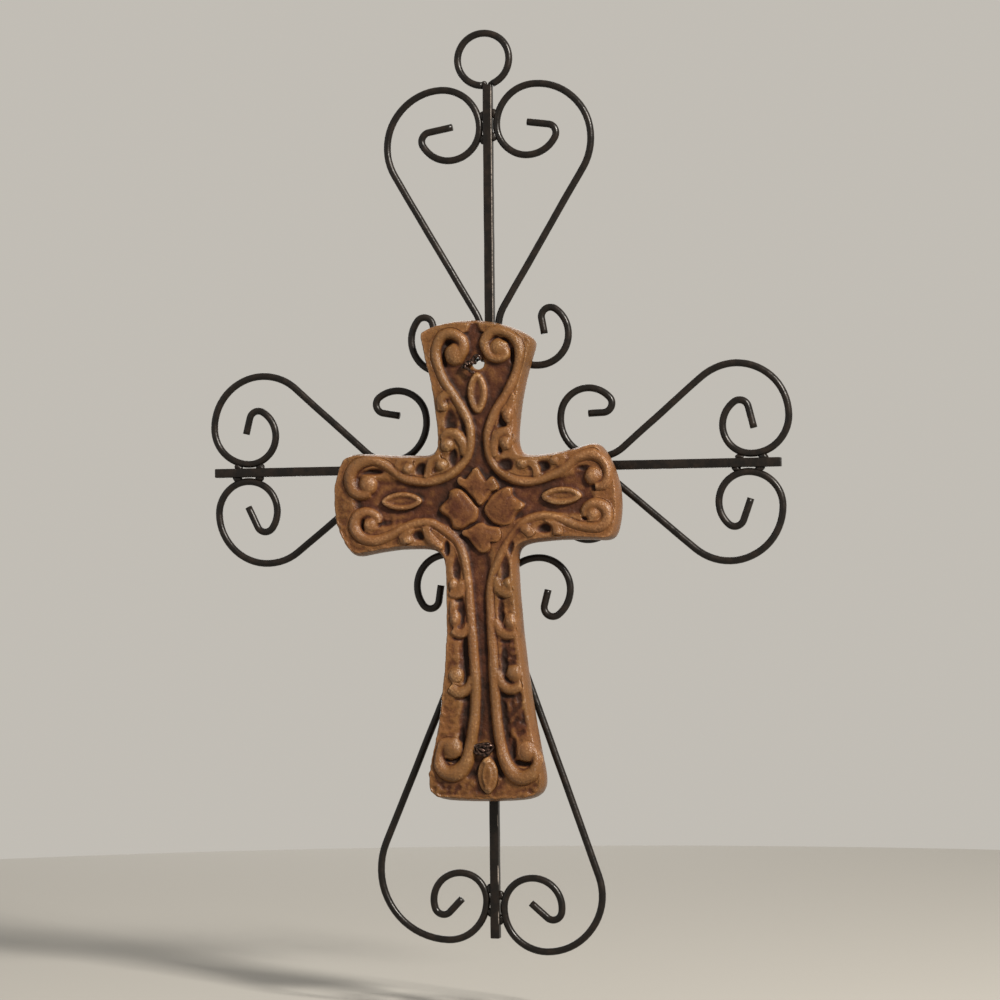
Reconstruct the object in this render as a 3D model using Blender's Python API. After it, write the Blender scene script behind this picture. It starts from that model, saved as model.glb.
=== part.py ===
"""Wall cross: a moulded clay relief cross, tied with wire to a scrolled iron frame.

Metres, +Z up, the carved face towards -Y. The origin is the inside of the
hanging ring's top, where the nail bears.
"""
import math

import bmesh
import bpy
from mathutils import Matrix, Vector

# Iron frame: driving sizes
WIRE = 0.0032  # thickness of the round wire
BAR = 0.004  # side of the square bars
CONTACT = 0.0003  # gap kept between pieces that touch
UPRIGHT_ABOVE = 0.1695  # reach of the upright above the crossing
UPRIGHT_BELOW = 0.2065
CROSS_BAR_LEFT = 0.1295
CROSS_BAR_RIGHT = 0.128
RING_BEND = 0.0117  # radius of the ring's centre line
RING_RISE = 0.0114  # height of the ring's centre above the upright's end
RING_ASIDE = 0.002  # the ring stands a little left of the upright
HOOK_BEND = 0.004  # the tight bend before each free end

# Each scroll: the arm it stands beside and the hand it bends to, then its bends and straights in
# metres and its turns in degrees. Hand 1 bends towards local +X, which the arm's rotation carries round.
SCROLLS = {
    "scroll_top_left": dict(
        arm="top", hand=-1, weld=0.1505, crown=0.0175, shoulder=0.025,
        curl=0.014, curl_turn=150, hook_turn=110, tail=0.011,
        pinch=0.0595, waist=0.017, waist_turn=105, eye=0.0145, eye_turn=110, eye_hook_turn=130, eye_tail=0.008),
    "scroll_top_right": dict(
        arm="top", hand=1, weld=0.1515, crown=0.0175, shoulder=0.025,
        curl=0.014, curl_turn=152, hook_turn=110, tail=0.0095,
        pinch=0.062, waist=0.0175, waist_turn=97, eye=0.0135, eye_turn=138, eye_hook_turn=135, eye_tail=0.007),
    "scroll_right_upper": dict(
        arm="right", hand=-1, weld=0.115, crown=0.0165, shoulder=0.023,
        curl=0.0125, curl_turn=144, hook_turn=112, tail=0.0095,
        pinch=0.0475, waist=0.017, waist_turn=101, eye=0.0125, eye_turn=129, eye_hook_turn=128, eye_tail=0.0065),
    "scroll_right_lower": dict(
        arm="right", hand=1, weld=0.1135, crown=0.015, shoulder=0.0235,
        curl=0.013, curl_turn=138, hook_turn=113, tail=0.010,
        pinch=0.0455, waist=0.0155, waist_turn=100, eye=0.0125, eye_turn=125, eye_hook_turn=128, eye_tail=0.0065),
    "scroll_bottom_left": dict(
        arm="bottom", hand=1, weld=0.190, crown=0.0175, shoulder=0.0305,
        curl=0.012, curl_turn=198, hook_turn=118, tail=0.008,
        pinch=0.054, waist=0.016, waist_turn=101, eye=0.014, eye_turn=115, eye_hook_turn=135, eye_tail=0.007),
    "scroll_bottom_right": dict(
        arm="bottom", hand=-1, weld=0.193, crown=0.019, shoulder=0.025,
        curl=0.013, curl_turn=187, hook_turn=124, tail=0.0095,
        pinch=0.057, waist=0.017, waist_turn=93, eye=0.014, eye_turn=139, eye_hook_turn=143, eye_tail=0.007),
    "scroll_left_upper": dict(
        arm="left", hand=1, weld=0.1135, crown=0.0165, shoulder=0.023,
        curl=0.0125, curl_turn=150, hook_turn=106, tail=0.0075,
        pinch=0.0475, waist=0.017, waist_turn=104, eye=0.0135, eye_turn=113, eye_hook_turn=133, eye_tail=0.0075),
    "scroll_left_lower": dict(
        arm="left", hand=-1, weld=0.114, crown=0.014, shoulder=0.023,
        curl=0.0135, curl_turn=124, hook_turn=120, tail=0.010,
        pinch=0.045, waist=0.015, waist_turn=102, eye=0.0125, eye_turn=118, eye_hook_turn=130, eye_tail=0.007),
}

# Clay cross: driving sizes
CLAY_HEIGHT = 0.2115
CLAY_THICK = 0.0125  # at the ground between the carving
CLAY_DROP = 0.0145  # its centre, below the crossing
CLAY_ASIDE = 0.0014  # and left of the upright
CLAY_TILT = math.radians(0.4)
CLAY_EDGE = 0.0025  # rounding of its front edge
VINE = 0.0042  # width of a vine in the upper half
VINE_BELOW = 0.0052  # and in the lower arm
LEAF = 0.0034  # width of a small leaf curl
RELIEF = 1.3  # how much deeper than round the carving stands
SUNK = 0.0004  # how far the middle of the carving lies under the ground
PETAL_PROUD = 0.0022
PETAL_EDGE = 0.0009

# Ties: driving sizes
TIE = 0.0009  # thickness of the tie wire
HOLE = 0.005  # width of a tie hole at the front
HOLE_BACK = 0.012  # the hole widens to this behind
UPPER_HOLE = 28.1  # height of the upper hole, in hundredths of the clay's height
LOWER_HOLE = -51.3
TIE_STRAND_GAP = 0.0003
TIES = {
    "tie_upper": dict(height=UPPER_HOLE, way=205, length=0.004, turns=1.5, tail=0.0012),
    "tie_lower": dict(height=LOWER_HOLE, way=10, length=0.0025, turns=1.0, tail=0.001),
}

ARC_STEP = math.radians(27)
HOOK_STEP = math.radians(36)
RING_STEP = math.radians(17)
CURL_STEP = 36  # in degrees, along the carved curls
OVERRUN = 0.001  # how far a cutter runs past the clay

# Places that follow from the sizes
bar_x = RING_ASIDE
ring_z = WIRE / 2 - RING_BEND
upright_top = ring_z - RING_RISE
crossing_z = upright_top - UPRIGHT_ABOVE
weld_aside = BAR / 2 + CONTACT + WIRE / 2
cross_bar_y = BAR + CONTACT
clay_back = -BAR / 2 - CONTACT
ground_y = -CLAY_THICK


def share(value):
    """A length given in hundredths of the clay's height."""
    return value * CLAY_HEIGHT / 100


def collection(name, hidden=False):
    made = bpy.data.collections.new(name)
    bpy.context.scene.collection.children.link(made)
    made.hide_render = hidden
    return made


def material(name, colour, roughness, metallic=0.0):
    made = bpy.data.materials.new(name)
    made.use_nodes = True
    shader = made.node_tree.nodes["Principled BSDF"]
    shader.inputs["Base Color"].default_value = (*colour, 1.0)
    shader.inputs["Roughness"].default_value = roughness
    shader.inputs["Metallic"].default_value = metallic
    made.diffuse_color = (*colour, 1.0)
    return made


def add(name, data, home, parent=None, finish=None, place=(0, 0, 0)):
    thing = bpy.data.objects.new(name, data)
    home.objects.link(thing)
    thing.parent = parent
    thing.location = place
    if finish:
        data.materials.append(finish)
    return thing


def box(name, size, place, home, parent, finish):
    mesh = bpy.data.meshes.new(name)
    shape = bmesh.new()
    bmesh.ops.create_cube(shape, size=1.0)
    bmesh.ops.scale(shape, vec=size, verts=shape.verts)
    shape.to_mesh(mesh)
    shape.free()
    return add(name, mesh, home, parent, finish, place)


# Paths of bent wire: each entry is along the arm, away from the bar, heading

def bend(path, radius, turn, step=ARC_STEP):
    """Carry the path on round a bend; a positive turn is away from the bar."""
    along, aside, heading = path[-1]
    hand = math.copysign(1, turn)
    mid_along = along - hand * radius * math.sin(heading)
    mid_aside = aside + hand * radius * math.cos(heading)
    count = max(1, round(abs(turn) / step))
    for number in range(1, count + 1):
        angle = heading + turn * number / count
        path.append((
            mid_along + hand * radius * math.sin(angle),
            mid_aside - hand * radius * math.cos(angle),
            angle,
        ))


def run(path, length):
    along, aside, heading = path[-1]
    path.append((along + length * math.cos(heading), aside + length * math.sin(heading), heading))


def leg_heading(shoulder_mid, shoulder, pinch_mid, waist):
    """Heading of the straight leg that leaves the shoulder bend and meets the waist bend."""
    across = pinch_mid - shoulder_mid
    lean = math.asin((shoulder + waist) / across.length)
    return (math.atan2(across.y, across.x) + lean) % (2 * math.pi)


def scroll_path(weld, crown, shoulder, curl, curl_turn, hook_turn, tail,
                pinch, waist, waist_turn, eye, eye_turn, eye_hook_turn, eye_tail):
    """One S-scroll: a big curl welded to the bar, a straight leg, and a small curl at the pinch."""
    big_curl = [(weld, weld_aside, math.pi)]
    bend(big_curl, curl, -math.radians(curl_turn))
    bend(big_curl, HOOK_BEND, -math.radians(hook_turn), HOOK_STEP)
    run(big_curl, tail)

    shoulder_mid = Vector((weld + crown - shoulder, weld_aside + crown))
    pinch_mid = Vector((pinch, weld_aside + waist))
    heading = leg_heading(shoulder_mid, shoulder, pinch_mid, waist)
    reach = (pinch_mid - shoulder_mid).length
    leg = math.sqrt(reach ** 2 - (shoulder + waist) ** 2)

    rest = [(weld, weld_aside, 0.0)]
    bend(rest, crown, math.pi / 2)
    bend(rest, shoulder, heading - math.pi / 2)
    run(rest, leg)
    bend(rest, waist, math.pi - heading)
    bend(rest, waist, -math.radians(waist_turn))
    bend(rest, eye, -math.radians(eye_turn))
    bend(rest, HOOK_BEND, -math.radians(eye_hook_turn), HOOK_STEP)
    run(rest, eye_tail)
    return big_curl[:0:-1] + rest


def wire(name, points, thickness, home, parent, finish=None, roundness=2):
    """A round wire along the points, with flat ends and 4 + 2 * roundness sides."""
    data = bpy.data.curves.new(name, "CURVE")
    data.dimensions = "3D"
    data.bevel_depth = thickness / 2
    data.bevel_resolution = roundness
    data.use_fill_caps = True
    spline = data.splines.new("POLY")
    spline.points.add(len(points) - 1)
    for number, point in enumerate(points):
        spline.points[number].co = (*point, 1.0)
    return add(name, data, home, parent, finish)


ARMS = {"top": 0, "right": math.pi / 2, "bottom": math.pi, "left": -math.pi / 2}


def scroll(name, home, crossing, finish, arm, hand, **bends):
    path = scroll_path(**bends)
    points = [(hand * aside, 0, along) for along, aside, heading in path]
    made = wire(name, points, WIRE, home, crossing, finish)
    made.rotation_euler = (0, ARMS[arm], 0)
    made.location.y = cross_bar_y if arm in ("left", "right") else 0
    return made


def hang_ring(home, parent, finish):
    """The wire goes round from one side of the upright's end to the other."""
    gap = CONTACT / RING_BEND
    start = math.atan2(-RING_RISE, RING_ASIDE + BAR / 2) + gap
    end = math.atan2(-RING_RISE, RING_ASIDE - BAR / 2) + 2 * math.pi - gap
    count = round((end - start) / RING_STEP)
    points = []
    for number in range(count + 1):
        angle = start + (end - start) * number / count
        points.append((RING_BEND * math.cos(angle), 0, ring_z + RING_BEND * math.sin(angle)))
    return wire("hang_ring", points, WIRE, home, parent, finish)


# Clay: corners in hundredths of its height, x, z, rounding, and the bow of the side that follows

CLAY_CORNERS = (
    (-13.3, 35.3, 1.4, 3.3),
    (12.2, 32.8, 0.9, -1.2),
    (7.6, 8.9, 2.0, -0.8),
    (24.7, 11.6, 1.0, 2.9),
    (27.8, -9.4, 1.2, -0.8),
    (7.1, -9.7, 2.0, -1.3),
    (13.4, -61.5, 4.5, 0.8),
    (-13.5, -61.5, 4.5, -2.1),
    (-8.3, -10.4, 2.0, -1.0),
    (-27.7, -11.8, 1.0, 3.6),
    (-29.3, 10.6, 2.2, -0.3),
    (-9.1, 9.5, 1.5, -0.8),
)
SIDE_PIECES = 6
CORNER_PIECES = 3


def bowed_side(start, end, bow):
    """Points of the arc from start to end that stands bow proud of the straight line."""
    along = end - start
    out = Vector((-along.y, along.x)).normalized()
    points = []
    for number in range(SIDE_PIECES + 1):
        part = number / SIDE_PIECES
        points.append(start + along * part + out * bow * 4 * part * (1 - part))
    return points


def clay_outline():
    """Closed outline of the clay: bowed sides with rounded corners."""
    corners = [Vector((share(x), share(z))) for x, z, rounding, bow in CLAY_CORNERS]
    sides = []
    for number, corner in enumerate(corners):
        bow = share(CLAY_CORNERS[number][3])
        sides.append(bowed_side(corner, corners[(number + 1) % len(corners)], bow))
    outline = []
    for number, corner in enumerate(corners):
        rounding = share(CLAY_CORNERS[number][2])
        before, after = sides[number - 1], sides[number]
        enter = corner + (before[-2] - corner).normalized() * rounding
        leave = corner + (after[1] - corner).normalized() * rounding
        for piece in range(CORNER_PIECES + 1):
            part = piece / CORNER_PIECES
            outline.append(enter * (1 - part) ** 2 + corner * 2 * part * (1 - part) + leave * part ** 2)
        far = sides[number][-1]
        far_rounding = share(CLAY_CORNERS[(number + 1) % len(corners)][2])
        for point in after[1:-1]:
            if (point - corner).length > rounding and (point - far).length > far_rounding:
                outline.append(point)
    return outline


def outline_solid(name, outline, front, back, home, parent):
    """A plate between two depths, its outline given as x, z."""
    mesh = bpy.data.meshes.new(name)
    shape = bmesh.new()
    corners = [shape.verts.new((point.x, back, point.y)) for point in outline]
    face = shape.faces.new(corners)
    grown = bmesh.ops.extrude_face_region(shape, geom=[face])
    moved = [item for item in grown["geom"] if isinstance(item, bmesh.types.BMVert)]
    bmesh.ops.translate(shape, vec=(0, front - back, 0), verts=moved)
    bmesh.ops.recalc_face_normals(shape, faces=shape.faces)
    shape.to_mesh(mesh)
    shape.free()
    return add(name, mesh, home, parent)


def round_front_edge(thing, width, segments):
    """Bevel only the edges round the front face, which are those furthest forward."""
    shape = bmesh.new()
    shape.from_mesh(thing.data)
    front = min(vert.co.y for vert in shape.verts)
    edges = [edge for edge in shape.edges if all(abs(vert.co.y - front) < width / 100 for vert in edge.verts)]
    bmesh.ops.bevel(shape, geom=edges, offset=width, segments=segments, profile=0.5,
                    affect="EDGES", clamp_overlap=True)
    shape.to_mesh(thing.data)
    shape.free()


# Relief, in hundredths of the clay's height, drawn for the right half. The curls and buds next to
# a tie hole keep their distance from it, so that the tie has its room.

UPPER_VINE = dict(
    first=((4.9, UPPER_HOLE + 3.6), 3.4, 2.3, 0, 285),
    stem=((7.4, 25.3), (5.5, 21.5), (3.2, 18.2), (1.9, 14.9), (1.7, 12.2), (2.5, 8.9),
          (4.5, 6.0), (8.2, 4.1), (12.3, 3.8), (16.9, 5.3), (20.6, 7.8)),
    last=((24.5, 5.5), 3.4, 2.2, 105, -245),
    balls=(((4.9, UPPER_HOLE + 2.7), 1.8), ((24.1, 4.5), 1.6)),
)
LOWER_VINE = dict(
    first=((24.3, -4.3), 3.0, 2.3, -100, 230),
    stem=((20.4, -6.4), (15.8, -4.2), (11.8, -3.9), (8.5, -5.6), (5.7, -8.6), (3.9, -11.9), (2.7, -14.7),
          (2.0, -18.4), (1.7, -24.0), (1.65, -32.2), (1.75, -39.7), (2.4, -44.4), (3.2, -50.1)),
    last=((7.4, LOWER_HOLE - 2.6), 3.5, 2.7, 195, 285),
    balls=(((23.9, -3.4), 1.5), ((7.0, LOWER_HOLE - 1.3), 1.3)),
)
# Each leaf curl: middle, bend, start and turn in degrees, and the size of the ball at its tip
LEAVES = (
    ((6.0, 18.4), 1.9, 80, -100, 1.05),
    ((5.8, 11.6), 2.3, 190, -190, 1.3),
    ((10.2, 6.9), 1.6, 270, -100, 1.2),
    ((16.7, 7.1), 1.6, 270, -100, 1.2),
    ((10.2, -6.0), 1.4, 200, 100, 1.05),
    ((16.3, -5.9), 1.4, 200, 100, 1.05),
    ((4.6, -16.5), 1.5, 180, 175, 0.95),
    ((5.0, -26.2), 2.2, 180, 175, 1.2),
    ((5.2, -36.6), 2.4, 180, 175, 1.3),
)
LEAF_TIP_OUT = 0.6
LEAF_TIP_UP = 0.2
# Each bud: middle, half length, half width, and whether it lies along the arm
BUDS = (
    ((0, UPPER_HOLE - 6.0), 4.3, 2.0, True),
    ((-16.7, 0.1), 4.1, 1.7, False),
    ((17.1, 0.1), 4.1, 1.7, False),
    ((0, LOWER_HOLE - 5.1), 3.7, 1.8, True),
)
# Each petal: middle and the way it points in degrees; its edge is reach by angle from that way
PETALS = (((0, 4.0), 90), ((5.4, -1.5), 0), ((0, -7.2), -90), ((-4.7, -1.5), 180))
PETAL_EDGE_REACH = ((0, 4.6), (16, 3.8), (32, 3.7), (50, 4.4), (72, 4.2), (100, 3.6), (140, 3.7), (180, 4.3))


def spiral(middle, wide, tight, start, turn):
    """Points from the wide end of a curl inwards."""
    count = round(abs(turn) / CURL_STEP)
    points = []
    for number in range(count + 1):
        part = number / count
        angle = math.radians(start + turn * part)
        reach = wide + (tight - wide) * part
        points.append(Vector((middle[0] + reach * math.cos(angle), middle[1] + reach * math.sin(angle))))
    return points


def vine_points(first, stem, last):
    """The whole vine, from inside its first curl to inside its last."""
    return spiral(*first)[::-1] + [Vector(point) for point in stem] + spiral(*last)


def rod(name, points, width, home, clay, hand, roundness):
    """A round rod half sunk in the clay's ground, as a closed mesh."""
    placed = [(hand * share(point.x), 0, share(point.y)) for point in points]
    curve = wire(name, placed, width, home, None, roundness=roundness)
    curve.scale = (1, RELIEF, 1)
    bpy.context.view_layer.update()
    evaluated = curve.evaluated_get(bpy.context.evaluated_depsgraph_get())
    mesh = bpy.data.meshes.new_from_object(evaluated)
    shape = bmesh.new()
    shape.from_mesh(mesh)
    bmesh.ops.remove_doubles(shape, verts=shape.verts, dist=0.00001)
    bmesh.ops.transform(shape, matrix=curve.matrix_world, verts=shape.verts)
    bmesh.ops.translate(shape, vec=(0, ground_y + SUNK, 0), verts=shape.verts)
    bmesh.ops.recalc_face_normals(shape, faces=shape.faces)
    shape.to_mesh(mesh)
    shape.free()
    bpy.data.objects.remove(curve)
    return add(name, mesh, home, clay)


def ball(name, middle, half_length, half_width, upright, depth, home, clay):
    """An egg of clay half sunk in the ground; along Z if upright, else along X."""
    mesh = bpy.data.meshes.new(name)
    shape = bmesh.new()
    bmesh.ops.create_uvsphere(shape, u_segments=8, v_segments=6, radius=1.0)
    size = (half_width, depth, half_length) if upright else (half_length, depth, half_width)
    bmesh.ops.scale(shape, vec=size, verts=shape.verts)
    shape.to_mesh(mesh)
    shape.free()
    return add(name, mesh, home, clay, place=(middle[0], ground_y + SUNK, middle[1]))


def petal(name, middle, pointing, home, clay):
    outline = []
    whole = PETAL_EDGE_REACH + tuple((-angle, reach) for angle, reach in PETAL_EDGE_REACH[-2:0:-1])
    for angle, reach in whole:
        way = math.radians(pointing + angle)
        outline.append(Vector((
            share(middle[0] + reach * math.cos(way)),
            share(middle[1] + reach * math.sin(way)),
        )))
    made = outline_solid(name, outline, ground_y - PETAL_PROUD, ground_y / 2, home, clay)
    round_front_edge(made, PETAL_EDGE, 1)
    return made


def tie_hole(name, height, home, clay):
    """A hole that widens towards the back, so that the wire can pass the bar on both sides."""
    widening = (HOLE_BACK - HOLE) / 2 / CLAY_THICK
    mesh = bpy.data.meshes.new(name)
    shape = bmesh.new()
    bmesh.ops.create_cone(
        shape, cap_ends=True, segments=14, depth=CLAY_THICK + 2 * OVERRUN,
        radius1=HOLE / 2 - widening * OVERRUN, radius2=HOLE_BACK / 2 + widening * OVERRUN,
    )
    bmesh.ops.rotate(shape, matrix=Matrix.Rotation(-math.pi / 2, 3, "X"), verts=shape.verts)
    shape.to_mesh(mesh)
    shape.free()
    return add(name, mesh, home, clay, place=(0, -CLAY_THICK / 2, height))


def join(clay, piece, operation):
    cut = clay.modifiers.new(piece.name, "BOOLEAN")
    cut.operation = operation
    cut.object = piece
    piece.display_type = "WIRE"
    piece.hide_render = True


def clay_cross(home, shapes, crossing, finish):
    outline = clay_outline()
    clay = outline_solid("clay_cross", outline, ground_y, 0, home, crossing)
    round_front_edge(clay, CLAY_EDGE, 2)
    clay.data.materials.append(finish)
    clay.location = (-CLAY_ASIDE, clay_back, -CLAY_DROP)
    clay.rotation_euler.y = -CLAY_TILT

    pieces = []
    for side, hand in (("right", 1), ("left", -1)):
        for level, vine, width in (("upper", UPPER_VINE, VINE), ("lower", LOWER_VINE, VINE_BELOW)):
            points = vine_points(vine["first"], vine["stem"], vine["last"])
            name = f"vine_{level}_{side}"
            pieces.append(rod(name, points, width, shapes, clay, hand, 2))
            for number, (middle, size) in enumerate(vine["balls"]):
                place = (hand * share(middle[0]), share(middle[1]))
                size = share(size)
                pieces.append(ball(f"{name}_eye_{number}", place, size, size, True, size, shapes, clay))
        for number, (middle, reach, start, turn, tip) in enumerate(LEAVES):
            points = spiral(middle, reach, reach, start, turn)
            pieces.append(rod(f"leaf_{side}_{number}", points, LEAF, shapes, clay, hand, 1))
            place = (hand * share(middle[0] + LEAF_TIP_OUT), share(middle[1] + LEAF_TIP_UP))
            size = share(tip)
            pieces.append(ball(f"leaf_tip_{side}_{number}", place, size, size, True, size, shapes, clay))
    for number, (middle, length, width, upright) in enumerate(BUDS):
        place = (share(middle[0]), share(middle[1]))
        pieces.append(ball(f"bud_{number}", place, share(length), share(width), upright,
                           share(width), shapes, clay))
    for number, (middle, pointing) in enumerate(PETALS):
        pieces.append(petal(f"petal_{number}", middle, pointing, shapes, clay))
    for piece in pieces:
        join(clay, piece, "UNION")
    for name, recipe in TIES.items():
        join(clay, tie_hole(f"hole_for_{name}", share(recipe["height"]), shapes, clay), "DIFFERENCE")
    return clay


# Ties: the wire comes out of the hole, goes behind the bar and back, and its ends are twisted

def smooth(points, pieces):
    """A Catmull-Rom curve through the points."""
    made = []
    for number in range(len(points) - 1):
        before = points[max(number - 1, 0)]
        start, end = points[number], points[number + 1]
        after = points[min(number + 2, len(points) - 1)]
        for piece in range(pieces):
            part = piece / pieces
            made.append(0.5 * (
                2 * start + (end - before) * part
                + (2 * before - 5 * start + 4 * end - after) * part ** 2
                + (3 * start - before - 3 * end + after) * part ** 3
            ))
    return made + [points[-1]]


TWIST_STEPS = 6  # points in a turn of the twist
TAIL_SWING = (0.6, 1.3, 1.8)  # how far round each free end has bent, in radians


def tie_half(hole, hand, way, length, turns, tail):
    """From behind the bar, through the hole, along the twist and out to one free end."""
    pair = (TIE + TIE_STRAND_GAP) / 2
    apart = hand * (TIE + TIE_STRAND_GAP)
    beside = BAR / 2 + CONTACT + TIE / 2 + TIE_STRAND_GAP
    ground = clay_back - CLAY_THICK
    depth = ground - CONTACT - TIE / 2 - pair
    points = [
        Vector((0, beside, hole.z)),
        Vector((hand * beside, beside, hole.z)),
        Vector((hand * beside, 0, hole.z)),
        Vector((hand * beside, clay_back, hole.z)),
        Vector((hole.x + apart, (ground + clay_back) / 2, hole.z)),
        Vector((hole.x + apart * 0.7, ground, hole.z)),
    ]
    points = smooth(points, 2)
    along = Vector((math.cos(way), 0, math.sin(way)))
    across = Vector((math.sin(way), 0, -math.cos(way)))
    out = Vector((0, -1, 0))
    start = Vector((hole.x, depth, hole.z)) + along * TIE
    steps = round(turns * TWIST_STEPS)
    for number in range(steps + 1):
        angle = 2 * math.pi * turns * number / steps
        offset = across * math.cos(angle) + out * math.sin(angle)
        points.append(start + along * length * number / steps + offset * hand * pair)
    end = points[-1]
    for swing in TAIL_SWING:
        points.append(end + along * tail * math.sin(swing) + across * hand * tail * (1 - math.cos(swing)))
    return points


def tie(name, clay, home, crossing, finish, height, way, **twist):
    hole = crossing.matrix_world.inverted() @ clay.matrix_world @ Vector((0, 0, share(height)))
    halves = [tie_half(hole, hand, math.radians(way), **twist) for hand in (-1, 1)]
    return wire(name, halves[0][:0:-1] + halves[1], TIE, home, crossing, finish, roundness=1)


def main():
    for thing in list(bpy.data.objects):
        bpy.data.objects.remove(thing)
    home = collection("wall_cross")
    shapes = collection("shapes_joined_to_the_clay", hidden=True)
    iron = material("black_iron", (0.019, 0.014, 0.011), 0.4, 0.5)
    clay_finish = material("fired_clay", (0.30, 0.12, 0.05), 0.45)
    tie_wire = material("dark_tie_wire", (0.02, 0.016, 0.013), 0.3, 0.8)

    crossing = add("crossing", None, home, place=(bar_x, 0, crossing_z))

    upright = UPRIGHT_ABOVE + UPRIGHT_BELOW
    box("upright_bar", (BAR, BAR, upright), (0, 0, (UPRIGHT_ABOVE - UPRIGHT_BELOW) / 2), home, crossing, iron)
    cross = CROSS_BAR_LEFT + CROSS_BAR_RIGHT
    box("cross_bar", (cross, BAR, BAR), ((CROSS_BAR_RIGHT - CROSS_BAR_LEFT) / 2, cross_bar_y, 0),
        home, crossing, iron)
    hang_ring(home, None, iron)

    for name, recipe in SCROLLS.items():
        scroll(name, home, crossing, iron, **recipe)

    clay = clay_cross(home, shapes, crossing, clay_finish)
    bpy.context.view_layer.update()
    for name, recipe in TIES.items():
        tie(name, clay, home, crossing, tie_wire, **recipe)


main()
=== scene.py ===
# Wall cross: a carved brown clay cross, wired to a black frame of bars and scrolls
import math

import bmesh
import bpy
import numpy as np
from mathutils import Matrix, Vector, noise


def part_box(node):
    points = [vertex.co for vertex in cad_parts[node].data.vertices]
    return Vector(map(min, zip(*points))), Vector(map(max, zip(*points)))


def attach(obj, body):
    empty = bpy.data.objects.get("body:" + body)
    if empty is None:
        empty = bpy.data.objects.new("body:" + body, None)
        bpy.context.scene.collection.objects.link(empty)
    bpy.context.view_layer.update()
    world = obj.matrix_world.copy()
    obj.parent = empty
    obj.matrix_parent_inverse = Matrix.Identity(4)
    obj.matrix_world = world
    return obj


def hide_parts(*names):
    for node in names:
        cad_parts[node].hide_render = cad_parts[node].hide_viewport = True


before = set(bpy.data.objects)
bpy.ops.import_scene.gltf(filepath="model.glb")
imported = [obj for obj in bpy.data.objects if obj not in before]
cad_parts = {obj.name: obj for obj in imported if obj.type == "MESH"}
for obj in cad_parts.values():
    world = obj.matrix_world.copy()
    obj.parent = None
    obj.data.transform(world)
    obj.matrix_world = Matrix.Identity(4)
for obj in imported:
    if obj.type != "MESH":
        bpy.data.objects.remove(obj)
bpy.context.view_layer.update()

mm = 0.001
noise.seed_set(7)  # noise vectors start from the clock otherwise, and each run would differ a little

# Where the frame's pieces stand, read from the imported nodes
uprightLow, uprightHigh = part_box("upright_bar")
crossBarLow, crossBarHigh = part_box("cross_bar")
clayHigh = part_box("clay_cross")[1]
barX = (uprightLow.x + uprightHigh.x) / 2
barSize = uprightHigh.x - uprightLow.x
crossingZ = (crossBarLow.z + crossBarHigh.z) / 2
lapY = (crossBarLow.y + crossBarHigh.y) / 2  # the cross bar and its scrolls lie behind the upright


# Small helpers

def linkMesh(name, mesh, finish, slotName, *replaced):
    piece = bpy.data.objects.new(name, mesh)
    bpy.context.scene.collection.objects.link(piece)
    mesh.materials.clear()
    mesh.materials.append(finish)
    mesh.shade_smooth()
    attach(piece, "root")
    if replaced:
        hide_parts(*replaced)
    return piece


def meshFrom(name, shape):
    mesh = bpy.data.meshes.new(name)
    shape.to_mesh(mesh)
    shape.free()
    return mesh


def smoothPoints(points, pieces):
    # a Catmull-Rom curve through rows of numbers of any width
    rows = [np.array(point, float) for point in points]
    made = []
    for number in range(len(rows) - 1):
        before = rows[max(number - 1, 0)]
        start, end = rows[number], rows[number + 1]
        after = rows[min(number + 2, len(rows) - 1)]
        for piece in range(pieces):
            part = piece / pieces
            made.append(0.5 * (2 * start + (end - before) * part
                               + (2 * before - 5 * start + 4 * end - after) * part ** 2
                               + (3 * start - before - 3 * end + after) * part ** 3))
    return made + [rows[-1]]


def tube(points, radii, sides):
    # a round tube along the points, closed at both ends, as a bmesh
    curve = bpy.data.curves.new("path", "CURVE")
    curve.dimensions = "3D"
    curve.bevel_depth = 1.0
    curve.bevel_resolution = (sides - 4) // 2
    curve.use_fill_caps = True
    spline = curve.splines.new("POLY")
    spline.points.add(len(points) - 1)
    for point, place, radius in zip(spline.points, points, radii):
        point.co = (*place, 1.0)
        point.radius = radius
    holder = bpy.data.objects.new("path", curve)
    bpy.context.scene.collection.objects.link(holder)
    mesh = bpy.data.meshes.new_from_object(holder.evaluated_get(bpy.context.evaluated_depsgraph_get()))
    bpy.data.objects.remove(holder)
    bpy.data.curves.remove(curve)
    shape = bmesh.new()
    shape.from_mesh(mesh)
    bpy.data.meshes.remove(mesh)
    bmesh.ops.remove_doubles(shape, verts=shape.verts, dist=0.000001)
    bmesh.ops.recalc_face_normals(shape, faces=shape.faces)
    return shape


def addShape(target, extra):
    # put one bmesh into another
    mesh = meshFrom("extra", extra)
    target.from_mesh(mesh)
    bpy.data.meshes.remove(mesh)


def softenEnds(shape, width):
    # the cut ends of a wire: its two caps are the only faces with many sides
    caps = [face for face in shape.faces if len(face.verts) > 4]
    rims = list({edge for face in caps for edge in face.edges})
    bmesh.ops.bevel(shape, geom=rims, offset=width, offset_type="OFFSET", segments=3, profile=0.5,
                    affect="EDGES", clamp_overlap=True, material=-1)


def unevenSurface(shape, amount, size, seed):
    for vert in shape.verts:
        vert.co += noise.noise_vector(vert.co / size + Vector((seed, 0, 0))) * amount


# Materials

def newMaterial(name):
    made = bpy.data.materials.new(name)
    made.use_nodes = True
    return made, made.node_tree, made.node_tree.nodes["Principled BSDF"]


def node(tree, kind, **settings):
    made = tree.nodes.new(kind)
    for key, value in settings.items():
        if key in made.inputs:
            made.inputs[key].default_value = value
        else:
            setattr(made, key, value)
    return made


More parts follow.
